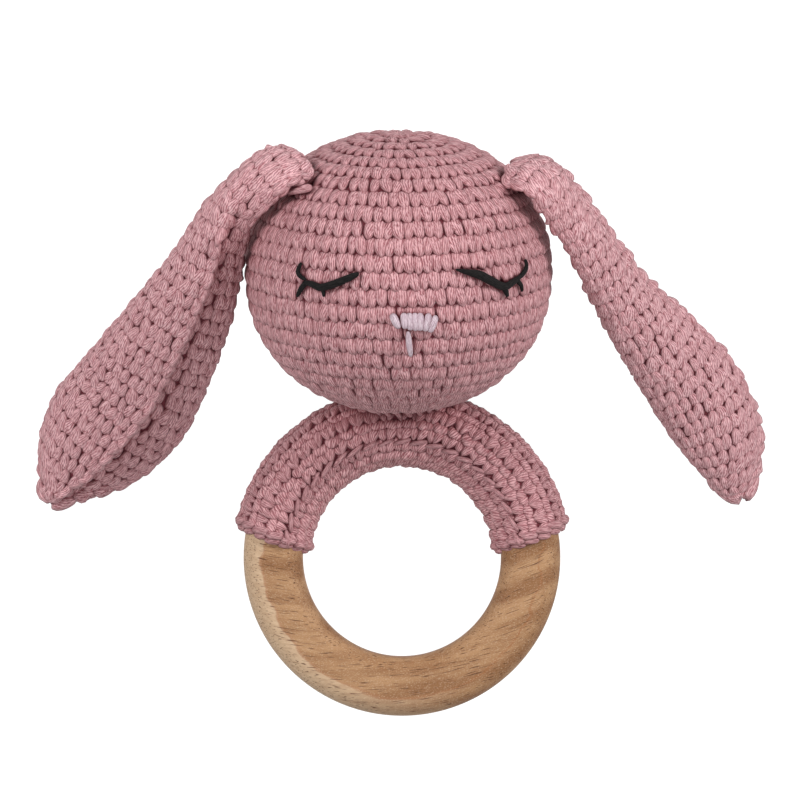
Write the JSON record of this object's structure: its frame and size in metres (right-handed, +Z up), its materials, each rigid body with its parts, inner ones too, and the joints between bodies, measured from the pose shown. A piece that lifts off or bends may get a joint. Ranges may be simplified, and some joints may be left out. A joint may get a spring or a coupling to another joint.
{
  "type": "teething ring",
  "caption": "Wooden teething ring with a crochet sleeve and a stuffed crochet bunny rattle head with two long ears.",
  "frame": {"origin": "middle of the footprint's box, on the surface that the toy lies on", "axes": "+Z up out of the face as the toy lies on its back, +Y from the ring towards the crown, +X to the right of the face as seen"},
  "size_m": [0.1492, 0.12, 0.0631],
  "materials": {
    "beech": "sanded bare beech with fine dark flecks",
    "pink_cotton": "dusty pink cotton yarn in single crochet",
    "ear_cotton": "dusty pink cotton yarn, limp double layer",
    "deep_pink_cotton": "dusty pink cotton yarn worked flat, in shade",
    "pale_cotton": "pale pink embroidery cotton, satin stitch",
    "black_cotton": "black cotton yarn",
    "fibre_fill": "white polyester fibre fill",
    "rattle_plastic": "moulded white plastic",
    "steel_shot": "bright steel balls"
  },
  "bodies": {
    "sleeve": {"ring_cover": "deep_pink_cotton", "cover_seam": "deep_pink_cotton"},
    "ring": {"wooden_ring": "beech"},
    "neck": {"neck_seam": "pink_cotton"},
    "head": {"head_shell": "pink_cotton", "closing_stitch": "pink_cotton", "crown_stuffing": "fibre_fill", "neck_stuffing": "fibre_fill", "rattle_lid": "rattle_plastic", "rattle_base": "rattle_plastic", "left_ear_seam": "pink_cotton", "right_ear_seam": "pink_cotton", "left_eyelid": "black_cotton", "left_lash_1": "black_cotton", "left_lash_2": "black_cotton", "right_eyelid": "black_cotton", "right_lash_1": "black_cotton", "right_lash_2": "black_cotton", "nose_stitch_1": "pale_cotton", "nose_stitch_2": "pale_cotton", "nose_stitch_3": "pale_cotton", "nose_stitch_4": "pale_cotton", "nose_stitch_5": "pale_cotton", "nose_stitch_6": "pale_cotton", "nose_stitch_7": "pale_cotton", "mouth_stitch": "pale_cotton"},
    "left_ear": {"left_ear": "ear_cotton"},
    "right_ear": {"right_ear": "ear_cotton"},
    "bead_1": {"rattle_bead_1": "steel_shot"},
    "bead_2": {"rattle_bead_2": "steel_shot"},
    "bead_3": {"rattle_bead_3": "steel_shot"}
  },
  "joints": [
    {"name": "ring_turn", "type": "hinge", "parent": "sleeve", "child": "ring", "pos_m": [0.0005, -0.0275, 0.0084], "axis": [0, 0, 1], "continuous": true},
    {"name": "neck_nod", "type": "hinge", "parent": "sleeve", "child": "neck", "pos_m": [0.0005, 0.0064, 0.01353], "axis": [1, 0, 0], "range_deg": [-20, 25], "deforming": ["neck_seam"]},
    {"name": "neck_twist", "type": "hinge", "parent": "neck", "child": "head", "pos_m": [0.0005, 0.0064, 0.01353], "axis": [0, 0.8143, 0.5805], "range_deg": [-25, 25]},
    {"name": "left_ear_lift", "type": "hinge", "parent": "head", "child": "left_ear", "pos_m": [-0.02126, 0.05356, 0.04675], "axis": [-0.5107, 0.6873, -0.5166], "range_deg": [0, 80]},
    {"name": "right_ear_lift", "type": "hinge", "parent": "head", "child": "right_ear", "pos_m": [0.02378, 0.05144, 0.04438], "axis": [-0.5557, -0.7169, 0.421], "range_deg": [0, 80]},
    {"name": "bead_1_roll", "type": "hinge", "parent": "head", "child": "bead_1", "pos_m": [-0.0002, 0.0309, 0.031], "axis": [1, 0, 0], "continuous": true},
    {"name": "bead_2_roll", "type": "hinge", "parent": "head", "child": "bead_2", "pos_m": [-0.0002, 0.0309, 0.031], "axis": [1, 0, 0], "continuous": true},
    {"name": "bead_3_roll", "type": "hinge", "parent": "head", "child": "bead_3", "pos_m": [-0.0002, 0.0309, 0.031], "axis": [1, 0, 0], "continuous": true}
  ]
}
